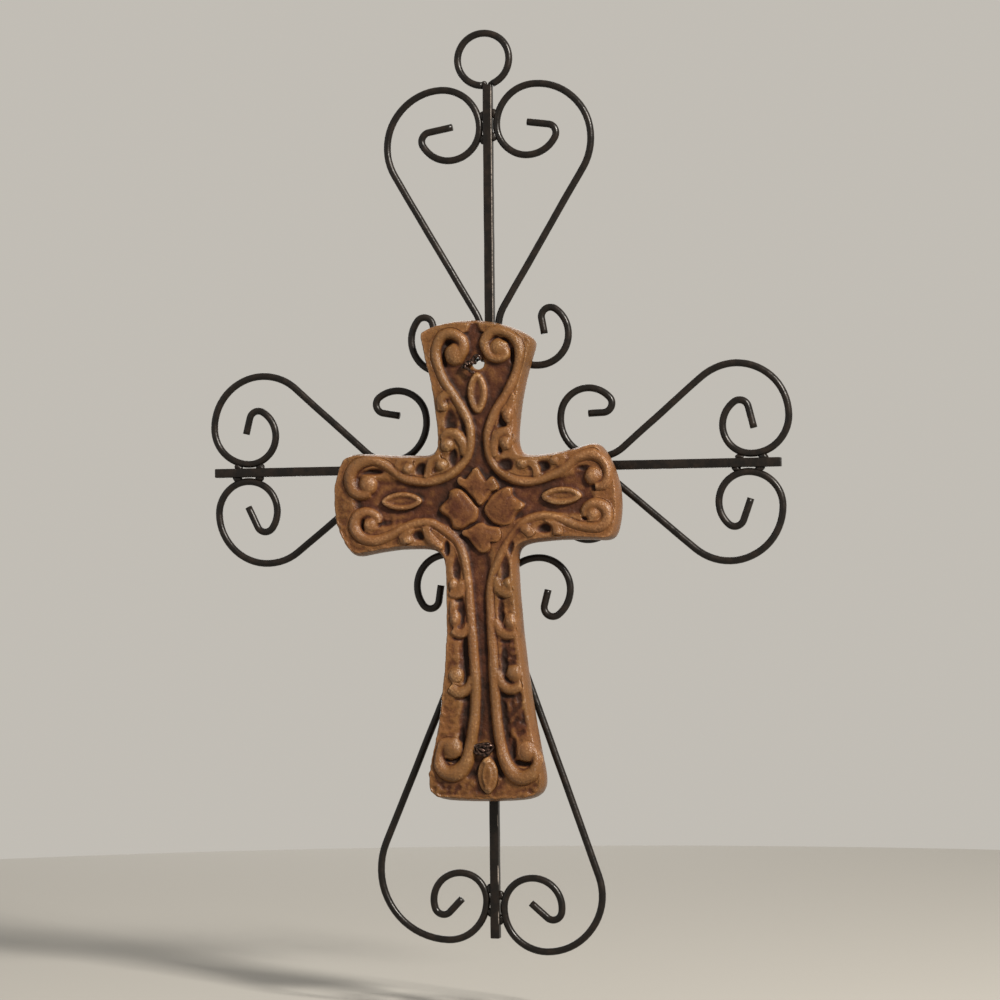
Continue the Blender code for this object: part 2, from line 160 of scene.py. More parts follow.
def ramp(tree, source, *stops):
    made = tree.nodes.new("ShaderNodeValToRGB")
    elements = made.color_ramp.elements
    while len(elements) < len(stops):
        elements.new(0.5)
    for element, (position, colour) in zip(elements, stops):
        element.position = position
        element.color = (*colour, 1.0)
    tree.links.new(source, made.inputs["Fac"])
    return made.outputs["Color"]


def mixColours(tree, factor, first, second, blend="MIX"):
    made = tree.nodes.new("ShaderNodeMix")
    made.data_type = "RGBA"
    made.blend_type = blend
    for value, socket in ((factor, made.inputs[0]), (first, made.inputs[6]), (second, made.inputs[7])):
        if isinstance(value, (int, float)):
            socket.default_value = value
        elif isinstance(value, tuple):
            socket.default_value = (*value, 1.0)
        else:
            tree.links.new(value, socket)
    return made.outputs[2]


def noiseAt(tree, coordinates, perMetre, detail, roughness=0.5):
    made = tree.nodes.new("ShaderNodeTexNoise")
    made.inputs["Scale"].default_value = perMetre
    made.inputs["Detail"].default_value = detail
    made.inputs["Roughness"].default_value = roughness
    tree.links.new(coordinates, made.inputs["Vector"])
    return made.outputs["Fac"]


def rangeOf(tree, source, low, high, newLow=0.0, newHigh=1.0):
    made = tree.nodes.new("ShaderNodeMapRange")
    made.inputs["From Min"].default_value = low
    made.inputs["From Max"].default_value = high
    made.inputs["To Min"].default_value = newLow
    made.inputs["To Max"].default_value = newHigh
    tree.links.new(source, made.inputs["Value"])
    return made.outputs["Result"]


def bumpFrom(tree, source, strength, distance, before=None):
    made = tree.nodes.new("ShaderNodeBump")
    made.inputs["Strength"].default_value = strength
    made.inputs["Distance"].default_value = distance
    tree.links.new(source, made.inputs["Height"])
    if before:
        tree.links.new(before, made.inputs["Normal"])
    return made.outputs["Normal"]


clayFinish = dict(
    rubbedAndHighlight=(0.37, 0.200, 0.088),  # the high places: glaze rubbed golden, lightened further as a painted highlight
    body=(0.142, 0.060, 0.020),
    reddish=(0.056, 0.017, 0.0075),
    hollowWashAndShade=(0.013, 0.0040, 0.0018),  # the glaze wash left in the hollows, darkened further as painted shade
    olive=(0.80, 0.92, 0.80),
    tallest=-1.3, deepest=0.9,  # millimetres above and below the ground around
)


def clayMaterial():
    look = clayFinish
    made, tree, shader = newMaterial("fired_clay")
    coordinates = node(tree, "ShaderNodeTexCoord").outputs["Object"]
    cavity = node(tree, "ShaderNodeAttribute", attribute_name="cavity").outputs["Fac"]
    patches = noiseAt(tree, coordinates, 90, 4, 0.6)
    grain = noiseAt(tree, coordinates, 1100, 3, 0.6)
    depth = rangeOf(tree, cavity, look["tallest"], look["deepest"])
    shift = rangeOf(tree, patches, 0.3, 0.7, -0.08, 0.08)
    specks = node(tree, "ShaderNodeMath", operation="MULTIPLY")
    tree.links.new(rangeOf(tree, grain, 0.3, 0.7, -0.17, 0.17), specks.inputs[0])
    tree.links.new(rangeOf(tree, depth, 0.45, 0.65, 1.0, 0.2), specks.inputs[1])  # grainy high places
    both = node(tree, "ShaderNodeMath", operation="ADD")
    tree.links.new(depth, both.inputs[0])
    tree.links.new(shift, both.inputs[1])
    height = node(tree, "ShaderNodeMath", operation="ADD")
    tree.links.new(both.outputs[0], height.inputs[0])
    tree.links.new(specks.outputs[0], height.inputs[1])
    # colour by how high a place stands: rubbed glaze with painted highlight on top, glaze wash with
    # painted shade down in the hollows
    colour = ramp(tree, height.outputs[0], (0.08, look["rubbedAndHighlight"]), (0.43, look["body"]),
                  (0.57, look["body"]), (0.76, look["reddish"]), (0.96, look["hollowWashAndShade"]))
    cloudy = noiseAt(tree, coordinates, 45, 3, 0.55)
    clouds = rangeOf(tree, cloudy, 0.4, 0.62, 0.0, 0.55)
    colour = mixColours(tree, clouds, colour, look["olive"], "MULTIPLY")
    tree.links.new(colour, shader.inputs["Base Color"])
    dull = node(tree, "ShaderNodeMath", operation="ADD")
    tree.links.new(rangeOf(tree, grain, 0.3, 0.7, 0.22, 0.36), dull.inputs[0])
    tree.links.new(rangeOf(tree, depth, 0.65, 0.95, 0.0, 0.4), dull.inputs[1])  # dull hollows
    tree.links.new(dull.outputs[0], shader.inputs["Roughness"])
    shader.inputs["Specular IOR Level"].default_value = 0.17
    tree.links.new(rangeOf(tree, depth, 0.30, 0.60, 0.65, 0.0), shader.inputs["Coat Weight"])
    shader.inputs["Coat Roughness"].default_value = 0.3
    pits = noiseAt(tree, coordinates, 760, 4, 0.65)
    grainy = bumpFrom(tree, pits, 0.55, 0.0008)
    tree.links.new(grainy, shader.inputs["Normal"])
    tree.links.new(grainy, shader.inputs["Coat Normal"])
    return made


ironFinish = dict(
    paint=(0.0060, 0.0048, 0.0040),
    brown=(0.013, 0.0085, 0.006),
    bareAndEdgeHighlight=(0.32, 0.28, 0.25),  # where the paint is worn off, and along the upright's upper right edge as a painted highlight
)


def ironMaterial():
    look = ironFinish
    made, tree, shader = newMaterial("black_iron")
    coordinates = node(tree, "ShaderNodeTexCoord").outputs["Object"]
    wearAndEdgeHighlight = node(tree, "ShaderNodeAttribute", attribute_name="wearAndEdgeHighlight").outputs["Fac"]
    patches = noiseAt(tree, coordinates, 260, 4, 0.6)
    grain = noiseAt(tree, coordinates, 1400, 4, 0.6)
    painted = mixColours(tree, rangeOf(tree, patches, 0.42, 0.7), look["paint"], look["brown"])
    # bare metal colour, broken up by grain, where the paint is worn off and where a painted highlight runs
    # along the upright's edge
    grainBreakup = rangeOf(tree, grain, 0.3, 0.6)
    wornAndHighlit = node(tree, "ShaderNodeMath", operation="MULTIPLY")
    tree.links.new(rangeOf(tree, wearAndEdgeHighlight, 0.2, 0.9), wornAndHighlit.inputs[0])
    tree.links.new(grainBreakup, wornAndHighlit.inputs[1])
    tree.links.new(mixColours(tree, wornAndHighlit.outputs[0], painted, look["bareAndEdgeHighlight"]), shader.inputs["Base Color"])
    tree.links.new(rangeOf(tree, patches, 0.3, 0.7, 0.24, 0.42), shader.inputs["Roughness"])
    shader.inputs["Specular IOR Level"].default_value = 0.22
    dents = noiseAt(tree, coordinates, 420, 3, 0.5)
    first = bumpFrom(tree, dents, 0.35, 0.0004)
    tree.links.new(bumpFrom(tree, grain, 0.15, 0.0002, first), shader.inputs["Normal"])
    return made


tieLook = dict(dark=(0.008, 0.005, 0.004), bright=(0.14, 0.08, 0.06), metallic=0.75)


def tieMaterial():
    look = tieLook
    made, tree, shader = newMaterial("tie_wire")
    coordinates = node(tree, "ShaderNodeTexCoord").outputs["Object"]
    patches = noiseAt(tree, coordinates, 800, 3)
    colour = ramp(tree, patches, (0.4, look["dark"]), (0.75, look["bright"]))
    tree.links.new(colour, shader.inputs["Base Color"])
    shader.inputs["Metallic"].default_value = look["metallic"]
    tree.links.new(rangeOf(tree, patches, 0.3, 0.7, 0.16, 0.30), shader.inputs["Roughness"])
    tree.links.new(bumpFrom(tree, patches, 0.2, 0.0001), shader.inputs["Normal"])
    return made


# Iron: bent wire

wire = dict(thickness=3.2 * mm, sides=16, step=6.0, hook=4.0 * mm, gap=0.3 * mm, end=0.35 * mm,
            uneven=0.12 * mm, unevenSize=14 * mm)


def bendOn(path, radius, turn):
    # carry the path on round a bend; a positive turn in degrees is away from the bar
    along, aside, heading = path[-1]
    hand = math.copysign(1, turn)
    angle = math.radians(turn)
    midAlong = along - hand * radius * math.sin(heading)
    midAside = aside + hand * radius * math.cos(heading)
    count = max(1, round(abs(turn) / wire["step"]))
    for number in range(1, count + 1):
        now = heading + angle * number / count
        path.append((midAlong + hand * radius * math.sin(now),
                     midAside - hand * radius * math.cos(now), now))


def runOn(path, length, pieces=1):
    for number in range(pieces):
        along, aside, heading = path[-1]
        reach = length / pieces
        path.append((along + reach * math.cos(heading), aside + reach * math.sin(heading), heading))


def scrollPath(weld, crown, shoulder, curl, curlTurn, hookTurn, tail,
               pinch, waist, waistTurn, eye, eyeTurn, eyeHookTurn, eyeTail):
    # a big curl welded to the bar, a straight leg and a small curl at the pinch
    weldAside = barSize / 2 + wire["gap"] + wire["thickness"] / 2
    bigCurl = [(weld, weldAside, math.pi)]
    bendOn(bigCurl, curl, -curlTurn)
    bendOn(bigCurl, wire["hook"], -hookTurn)
    runOn(bigCurl, tail, pieces=5)
    shoulderMid = Vector((weld + crown - shoulder, weldAside + crown))
    pinchMid = Vector((pinch, weldAside + waist))
    across = pinchMid - shoulderMid
    lean = math.asin((shoulder + waist) / across.length)
    heading = (math.atan2(across.y, across.x) + lean) % (2 * math.pi)
    leg = math.sqrt(across.length ** 2 - (shoulder + waist) ** 2)
    rest = [(weld, weldAside, 0.0)]
    bendOn(rest, crown, 90)
    bendOn(rest, shoulder, math.degrees(heading) - 90)
    runOn(rest, leg, pieces=20)
    bendOn(rest, waist, 180 - math.degrees(heading))
    bendOn(rest, waist, -waistTurn)
    bendOn(rest, eye, -eyeTurn)
    bendOn(rest, wire["hook"], -eyeHookTurn)
    runOn(rest, eyeTail, pieces=4)
    return bigCurl[:0:-1] + rest


arms = dict(top=0, right=90, bottom=180, left=-90)

# Each scroll: its arm and hand, then lengths in millimetres and turns in degrees, of the big curl
# in the first row and of the pinch and the small curl in the second
scrolls = {
    "scroll_top_left": ("top", -1, 150.5, 17.5, 25, 14, 150, 110, 11,
                        59.5, 17, 105, 14.5, 110, 130, 8),
    "scroll_top_right": ("top", 1, 151.5, 17.5, 25, 14, 152, 110, 9.5,
                         62, 17.5, 97, 13.5, 138, 135, 7),
    "scroll_right_upper": ("right", -1, 115, 16.5, 23, 12.5, 144, 112, 9.5,
                           47.5, 17, 101, 12.5, 129, 128, 6.5),
    "scroll_right_lower": ("right", 1, 113.5, 15, 23.5, 13, 138, 113, 10,
                           45.5, 15.5, 100, 12.5, 125, 128, 6.5),
    "scroll_bottom_left": ("bottom", 1, 190, 17.5, 30.5, 12, 198, 118, 8,
                           54, 16, 101, 14, 115, 135, 7),
    "scroll_bottom_right": ("bottom", -1, 193, 19, 25, 13, 187, 124, 9.5,
                            57, 17, 93, 14, 139, 143, 7),
    "scroll_left_upper": ("left", 1, 113.5, 16.5, 23, 12.5, 150, 106, 7.5,
                          47.5, 17, 104, 13.5, 113, 133, 7.5),
    "scroll_left_lower": ("left", -1, 114, 14, 23, 13.5, 124, 120, 10,
                          45, 15, 102, 12.5, 118, 130, 7),
}
isTurn = (4, 5, 9, 11, 12)  # which of a scroll's values, after its hand, are degrees

weldBead = dict(apart=5.2 * mm, aside=0.3 * mm, size=(1.5 * mm, 1.5 * mm, 2.1 * mm),
                uneven=0.5 * mm, unevenSize=1.6 * mm)


def bead(place, size, seed):
    # a small lump of weld
    shape = bmesh.new()
    bmesh.ops.create_icosphere(shape, subdivisions=3, radius=1.0)
    bmesh.ops.scale(shape, vec=size, verts=shape.verts)
    for vert in shape.verts:
        shift = noise.noise_vector(vert.co / weldBead["unevenSize"] + Vector((seed, seed, 0)))
        vert.co += shift * weldBead["uneven"]
    bmesh.ops.translate(shape, vec=place, verts=shape.verts)
    return shape


def markWearAndEdgeHighlight(mesh, wearAndEdgeHighlight):
    mesh.attributes.new("wearAndEdgeHighlight", "FLOAT", "POINT").data.foreach_set("value", wearAndEdgeHighlight)


def makeScroll(name, seed, finish):
    arm, hand, *values = scrolls[name]
    values = [value if number in isTurn else value * mm for number, value in enumerate(values)]
    path = scrollPath(*values)
    depth = lapY if arm in ("left", "right") else 0
    turn = Matrix.Translation((barX, depth, crossingZ)) @ Matrix.Rotation(math.radians(arms[arm]), 4, "Y")
    points = [turn @ Vector((hand * aside, 0, along)) for along, aside, heading in path]
    shape = tube(points, [wire["thickness"] / 2] * len(points), wire["sides"])
    softenEnds(shape, wire["end"])
    unevenSurface(shape, wire["uneven"], wire["unevenSize"], seed)
    weldAt = values[0]
    between = barSize / 2 + wire["gap"] / 2
    for number, along in enumerate((weldAt - weldBead["apart"], weldAt + weldBead["apart"])):
        weld = bead(Vector((0, 0, 0)), weldBead["size"], seed + number)
        bmesh.ops.translate(weld, vec=(hand * (between + weldBead["aside"]), 0, along), verts=weld.verts)
        bmesh.ops.transform(weld, matrix=turn, verts=weld.verts)
        addShape(shape, weld)
    mesh = meshFrom(name, shape)
    markWearAndEdgeHighlight(mesh, np.zeros(len(mesh.vertices)))
    linkMesh(name + "_wire", mesh, finish, "black_iron", name)


ring = dict(bend=11.7 * mm, rise=11.4 * mm, aside=2.0 * mm,
            weldAside=1.5 * mm, weldAbove=0.6 * mm, weldSize=(1.2 * mm, 1.4 * mm, 1.1 * mm))


def makeRing(finish):
    ringZ = wire["thickness"] / 2 - ring["bend"]
    gap = wire["gap"] / ring["bend"]
    start = math.atan2(-ring["rise"], ring["aside"] + barSize / 2) + gap
    end = math.atan2(-ring["rise"], ring["aside"] - barSize / 2) + 2 * math.pi - gap
    count = round(math.degrees(end - start) / wire["step"])
    points = []
    for number in range(count + 1):
        angle = start + (end - start) * number / count
        points.append(Vector((ring["bend"] * math.cos(angle), 0, ringZ + ring["bend"] * math.sin(angle))))
    shape = tube(points, [wire["thickness"] / 2] * len(points), wire["sides"])
    softenEnds(shape, wire["end"])
    unevenSurface(shape, wire["uneven"], wire["unevenSize"], seed=31)
    for number, side in enumerate((-1, 1)):
        place = Vector((barX + side * ring["weldAside"], 0, uprightHigh.z + ring["weldAbove"]))
        addShape(shape, bead(place, ring["weldSize"], seed=50 + number))
    mesh = meshFrom("ring", shape)
    markWearAndEdgeHighlight(mesh, np.zeros(len(mesh.vertices)))
    linkMesh("hang_ring_wire", mesh, finish, "black_iron", "hang_ring")


bars = dict(rounding=0.45 * mm, uneven=0.06 * mm, unevenSize=9 * mm, slice=2.5 * mm, wornAndLitEdge=0.32 * mm)
# Stretches of the upright's right edge given the bare metal colour: the first, along the upper part, is a
# painted highlight for the lit edge, the rest are paint rubbed off low down; from, to, how much
rubbedAndHighlight = ((-0.1500, -0.0220, 0.7), (-0.3488, -0.3427, 0.95), (-0.3594, -0.3578, 0.9),
          (-0.3736, -0.3657, 1.0), (-0.3900, -0.3860, 0.75))


def makeBar(name, low, high, longAxis, seed, finish):
    size = high - low
    shape = bmesh.new()
    bmesh.ops.create_cube(shape, size=1.0)
    bmesh.ops.scale(shape, vec=size, verts=shape.verts)
    bmesh.ops.bevel(shape, geom=list(shape.edges), offset=bars["rounding"], offset_type="OFFSET",
                    segments=3, profile=0.5, affect="EDGES", clamp_overlap=True, material=-1)
    long = [edge for edge in shape.edges if edge.calc_length() > size[longAxis] / 2]
    cuts = round(size[longAxis] / bars["slice"])
    bmesh.ops.subdivide_edges(shape, edges=long, cuts=cuts, use_grid_fill=False)
    bmesh.ops.translate(shape, vec=(low + high) / 2, verts=shape.verts)
    unevenSurface(shape, bars["uneven"], bars["unevenSize"], seed)
    mesh = meshFrom(name, shape)
    wearAndEdgeHighlight = np.zeros(len(mesh.vertices))
    # the upright's right front edge: worn paint low down and a painted highlight along the upper part
    if name == "upright_bar":
        for number, vert in enumerate(mesh.vertices):
            onEdge = vert.co.x > high.x - bars["wornAndLitEdge"] and vert.co.y < low.y + bars["wornAndLitEdge"]
            for start, end, amount in rubbedAndHighlight:
                if onEdge and start < vert.co.z < end:
                    wearAndEdgeHighlight[number] = amount
    markWearAndEdgeHighlight(mesh, wearAndEdgeHighlight)
    linkMesh(name + "_iron", mesh, finish, "black_iron", name)


crossingWeld = dict(size=(1.3 * mm, 1.2 * mm, 1.3 * mm), behind=0.2 * mm)


def crossingWelds(finish):
    # small fillets where the cross bar is lapped behind the upright
    shape = bmesh.new()
    number = 0
    for side in (-1, 1):
        for level in (-1, 1):
            place = Vector((barX + side * barSize * 0.55, uprightHigh.y + crossingWeld["behind"],
                            crossingZ + level * barSize * 0.5))
            addShape(shape, bead(place, crossingWeld["size"], seed=70 + number))
            number += 1
    mesh = meshFrom("crossing_welds", shape)
    markWearAndEdgeHighlight(mesh, np.zeros(len(mesh.vertices)))
    linkMesh("crossing_welds", mesh, finish, "black_iron")


# Clay: everything below is in millimetres from the middle of the clay, x to the right and z up,
# with y = 0 on the ground between the carving and the front towards -y

clay = dict(
    thick=12.5, aside=1.4, drop=14.5, tilt=0.4,  # the last in degrees
    relief=1.08, leafRelief=13 / 12, leafFull=1.5, lumpFull=1.24, lumpRise=0.6,
    sunk=0.45, rooted=2.0, sliced=0.15, holeRim=8,  # how deep the carving starts, and the holes' clear rim
    voxel=0.42, softening=5, roundedBy=220, cavityBy=45, keep=0.36,
    pebble=0.36, pebbleSize=2.5, wavy=0.35, wavySize=9.0, pits=0.16, pitSize=0.8,
    field=1.1, fieldFrom=9.5, fieldTo=13.0, wideChannel=2.6,
    groundDarkening=0.30, flowerStain=0.40, fieldStain=0.20,
)
clayPlace = (Matrix.Translation((barX - clay["aside"] * mm, clayHigh.y - clay["thick"] * mm,
                                 crossingZ - clay["drop"] * mm))
             @ Matrix.Rotation(-math.radians(clay["tilt"]), 4, "Y") @ Matrix.Scale(mm, 4))

# Vines: x, z and half width along each, from inside its first curl to inside its last
vines = dict(
    upperLeft=((-8.6, 62.2, 2.6), (-6.6, 65.2, 2.9), (-7.0, 69.6, 2.8), (-11.4, 72.6, 2.8),
               (-16.2, 71.4, 2.7), (-18.8, 66.0, 2.6), (-18.2, 59.4, 2.5), (-15.6, 52.6, 2.4),
               (-11.2, 45.6, 2.4), (-6.9, 38.8, 2.4), (-4.2, 32.4, 2.3), (-3.7, 25.9, 2.2),
               (-5.0, 19.4, 2.1), (-8.8, 14.4, 2.1), (-15.2, 10.2, 2.2), (-23.6, 8.2, 2.2),
               (-31.4, 9.2, 2.3), (-37.3, 12.0, 2.4), (-42.2, 15.8, 2.5), (-47.6, 18.4, 2.8),
               (-53.2, 17.6, 3.1), (-57.4, 14.4, 3.3), (-58.8, 9.8, 3.4), (-57.2, 5.4, 3.2),
               (-53.6, 3.6, 2.9), (-50.0, 4.4, 2.5)),
    upperRight=((12.0, 65.4, 2.0), (12.6, 62.8, 2.2), (9.4, 61.2, 2.4), (5.4, 62.8, 2.4), (3.4, 68.2, 2.7),
                (6.4, 72.8, 2.8), (12.2, 73.0, 2.8), (17.4, 69.0, 2.7), (19.0, 62.6, 2.6),
                (17.2, 54.6, 2.4), (12.6, 45.4, 2.4), (7.5, 37.9, 2.4), (4.6, 30.9, 2.3), (3.8, 25.7, 2.2),
                (4.6, 18.7, 2.1), (8.4, 12.5, 2.1), (16.0, 8.0, 2.2), (24.9, 7.4, 2.2), (35.6, 11.1, 2.3),
                (42.8, 16.4, 2.5), (49.9, 18.2, 2.9), (55.4, 15.8, 3.1), (57.8, 10.2, 3.1),
                (55.8, 5.2, 2.8), (51.6, 4.4, 2.4)),
    lowerLeft=((-46.4, -9.4, 2.0), (-47.2, -6.4, 2.3), (-51.6, -4.6, 2.7), (-55.6, -6.4, 3.0),
               (-57.0, -10.7, 3.1), (-54.0, -15.2, 3.0), (-48.0, -17.0, 2.8), (-41.0, -15.1, 2.5),
               (-34.6, -12.0, 2.3), (-28.2, -9.8, 2.2), (-21.3, -10.2, 2.1), (-15.1, -14.2, 2.1),
               (-10.4, -18.6, 2.1), (-7.8, -24.2, 2.2), (-6.3, -32.6, 2.2), (-5.4, -43.0, 2.2),
               (-4.2, -62.0, 2.5), (-3.3, -80.0, 2.6), (-3.6, -90.0, 2.7), (-4.3, -98.0, 2.8),
               (-6.0, -107.0, 2.9), (-8.2, -114.6, 3.4), (-12.2, -118.8, 4.1), (-16.6, -118.8, 3.8),
               (-19.8, -115.4, 3.2), (-20.2, -110.4, 2.8), (-18.4, -106.4, 2.6), (-15.2, -105.4, 2.4)),
    lowerRight=((46.8, -8.6, 2.0), (47.0, -5.4, 2.3), (50.8, -3.2, 2.7), (55.4, -4.8, 3.0),
                (56.8, -9.4, 3.0), (52.8, -13.2, 2.8), (44.2, -12.6, 2.4), (33.6, -8.6, 2.2),
                (24.9, -8.2, 2.1), (17.3, -12.0, 2.1), (12.0, -18.4, 2.1), (8.7, -25.0, 2.1),
                (5.6, -31.6, 2.1), (4.2, -38.0, 2.1), (3.8, -45.0, 2.2), (4.6, -63.0, 2.5),
                (5.1, -76.0, 2.6), (5.5, -86.0, 2.6), (6.4, -98.0, 2.7), (7.8, -107.5, 2.8),
                (9.8, -114.6, 3.3), (13.4, -119.6, 3.7), (17.8, -121.0, 3.7), (22.2, -118.6, 3.4),
                (24.0, -114.0, 3.0), (23.2, -109.6, 2.6), (20.8, -107.6, 2.2)),
)
# Leaf curls, in the same way
leaves = (
    ((-11.8, 45.4, 1.2), (-14.4, 45.8, 1.6), (-16.8, 43.4, 1.8), (-16.4, 39.2, 1.6)),
    ((-6.4, 19.6, 1.3), (-7.4, 25.2, 1.6), (-10.2, 28.6, 1.7), (-14.0, 28.9, 1.7), (-16.2, 26.2, 1.4)),
    ((16.2, 45.6, 1.1), (15.4, 41.6, 1.4), (14.0, 37.2, 1.7), (13.8, 33.8, 1.6)),
    ((6.4, 18.4, 1.3), (6.8, 24.0, 1.6), (9.2, 28.0, 1.7), (12.6, 29.0, 1.7), (15.2, 27.0, 1.5)),
    ((-36.0, 11.8, 1.3), (-36.6, 15.6, 1.4), (-33.8, 18.0, 1.4), (-30.2, 16.4, 1.4)),
    ((-23.6, 9.6, 1.3), (-22.8, 13.8, 1.4), (-20.6, 17.6, 1.4), (-17.2, 18.4, 1.4)),
    ((25.8, 8.6, 1.3), (25.6, 12.6, 1.4), (23.0, 15.6, 1.4), (19.8, 16.0, 1.5)),
    ((36.6, 12.4, 1.3), (37.4, 15.8, 1.4), (35.8, 18.4, 1.5), (32.6, 17.2, 1.5)),
    ((-30.6, -9.6, 1.3), (-32.2, -13.0, 1.4), (-34.6, -16.2, 1.6), (-32.4, -19.4, 1.6)),
    ((-22.8, -10.0, 1.2), (-24.2, -13.2, 1.4), (-22.4, -16.6, 1.7), (-18.8, -20.6, 1.8)),
    ((17.8, -12.6, 1.2), (20.6, -13.6, 1.7), (23.6, -16.4, 1.6)),
    ((29.8, -9.0, 1.2), (33.2, -11.2, 1.4), (34.8, -14.2, 1.7), (34.4, -17.6, 1.6)),
    ((-7.8, -35.4, 1.3), (-8.8, -39.6, 1.5), (-11.4, -41.4, 1.5), (-13.8, -39.6, 1.4)),
    ((-5.8, -54.4, 1.3), (-6.8, -57.0, 1.5), (-9.6, -58.4, 1.6), (-13.0, -56.4, 1.5)),
    ((-12.9, -43.6, 0.8), (-12.8, -47.4, 1.2), (-12.4, -51.2, 1.5)),
    ((-4.6, -77.6, 1.4), (-6.4, -82.0, 1.7), (-10.6, -84.0, 1.8), (-14.6, -81.6, 1.7)),
    ((6.0, -34.6, 1.3), (8.0, -39.0, 1.5), (11.6, -41.2, 1.6), (14.6, -39.4, 1.4)),
    ((5.6, -52.6, 1.4), (8.0, -57.2, 1.6), (12.2, -59.2, 1.7), (16.0, -57.0, 1.5)),
    ((6.2, -75.4, 1.5), (8.8, -80.8, 1.7), (13.2, -82.8, 1.8), (17.8, -80.4, 1.7)),
)
# Rounded lumps: x, z, half width, half height and how proud
lumps = (
    (-10.2, 63.8, 4.2, 4.2, 2.3), (9.4, 66.0, 3.6, 3.4, 2.0), (-50.8, 7.4, 3.6, 3.6, 2.5),
    (50.6, 8.8, 3.2, 3.2, 2.2), (-49.8, -10.0, 3.1, 3.1, 2.3), (50.4, -7.6, 3.0, 2.8, 2.1),
    (-14.4, -108.2, 4.3, 4.1, 2.5), (19.6, -109.8, 4.1, 4.0, 2.5), (-15.6, 41.0, 2.0, 2.2, 2.4),
    (-14.4, 24.2, 2.8, 2.8, 2.4), (13.8, 36.6, 2.8, 3.4, 2.5), (12.5, 24.4, 2.9, 2.9, 2.4),
    (-32.2, 14.2, 2.5, 2.5, 2.5), (-17.0, 15.4, 2.6, 2.5, 2.8), (19.6, 15.4, 2.5, 2.3, 2.2),
    (33.8, 16.2, 2.2, 2.0, 2.1), (-33.2, -17.2, 2.4, 2.2, 2.2), (-18.6, -20.4, 1.9, 2.4, 2.0),
    (21.2, -14.2, 2.0, 1.8, 2.0), (34.6, -15.0, 2.0, 2.1, 2.0), (-12.6, -37.0, 1.8, 2.4, 2.2),
    (-12.0, -51.8, 2.2, 3.2, 2.3), (-12.0, -76.4, 2.9, 3.0, 2.4), (12.6, -36.8, 2.3, 2.2, 2.2),
    (13.7, -53.6, 2.9, 3.3, 2.4), (14.5, -75.8, 3.3, 3.2, 2.4),
)
# Half width of the ground between the two vines of the upper arm, at heights along it
innerHeight = (24, 26, 38.8, 45.6, 52.6, 59.4, 66.0, 70.0, 73.5, 77.0, 84.0)
innerHalf = (0, 3.7, 6.9, 11.2, 15.6, 18.2, 18.8, 14.0, 3.4, 2.2, 0.6)
# Pockets pressed deep between the leaves and the vines: x, z, half width, half height and depth
pockets = (
    (-12.4, 34.4, 2.5, 4.0, 1.5), (-11.6, 18.6, 1.7, 3.4, 1.4), (10.6, 33.2, 1.8, 3.8, 1.4),
    (9.4, 22.4, 1.1, 2.6, 1.0), (11.6, 14.6, 3.0, 2.4, 1.5), (-26.2, 13.6, 2.4, 2.4, 1.5),
    (28.6, 13.6, 2.6, 2.2, 1.5), (-27.8, -15.2, 2.8, 2.0, 1.5), (-15.2, -21.0, 1.3, 2.8, 1.3),
    (28.8, -13.4, 2.6, 2.0, 1.5), (-13.4, 68.2, 1.6, 1.2, 1.3), (12.2, 69.2, 2.4, 1.0, 0.9),
    (-15.2, 61.6, 1.0, 3.2, 1.2), (15.6, 62.2, 1.0, 3.0, 1.2), (44.4, 11.4, 2.4, 2.0, 0.7),
    (-42.6, -9.4, 2.2, 1.2, 0.5), (-47.0, 13.6, 3.4, 1.1, 1.0), (-53.2, -10.4, 1.0, 2.4, 1.3),
    (-48.6, 12.8, 4.2, 1.2, 1.0), (52.2, -8.6, 1.3, 1.3, 1.2), (47.0, 12.6, 2.6, 1.1, 0.9),
    (-10.8, -30.4, 1.7, 5.0, 1.0), (-9.0, -48.6, 1.7, 5.6, 1.0), (-8.4, -69.0, 1.8, 7.8, 1.0),
    (10.9, -30.4, 1.8, 5.2, 1.0), (8.7, -49.4, 1.3, 4.8, 0.9), (9.8, -71.0, 1.6, 6.4, 0.8),
    (13.6, -21.6, 1.3, 3.2, 1.0), (-11.2, -43.4, 2.4, 1.0, 0.6), (-10.4, -60.4, 2.4, 1.0, 0.6),
    (-9.4, -86.4, 3.0, 1.0, 0.6), (9.6, -42.8, 2.0, 1.0, 0.6), (10.6, -61.6, 2.8, 1.0, 0.6),
    (11.0, -85.4, 3.0, 1.0, 0.6), (-11.2, -112.4, 0.9, 0.6, 1.0), (-16.8, -115.2, 1.2, 0.5, 0.8),
    (-19.0, -110.6, 0.5, 1.2, 0.7), (-14.6, -113.4, 2.6, 1.0, 1.3), (17.4, -114.8, 4.0, 1.4, 1.6),
    (13.2, -108.4, 1.3, 4.0, 1.1), (-9.6, -104.6, 1.1, 5.0, 0.9),
)
# Buds: x, z, half width, half length, and whether they lie along the arm
buds = ((-0.4, 46.5, 4.6, 9.1, False), (-35.2, 0.0, 4.0, 9.1, True), (36.6, 0.6, 3.9, 8.9, True),
        (1.7, -120.0, 4.5, 8.1, False))
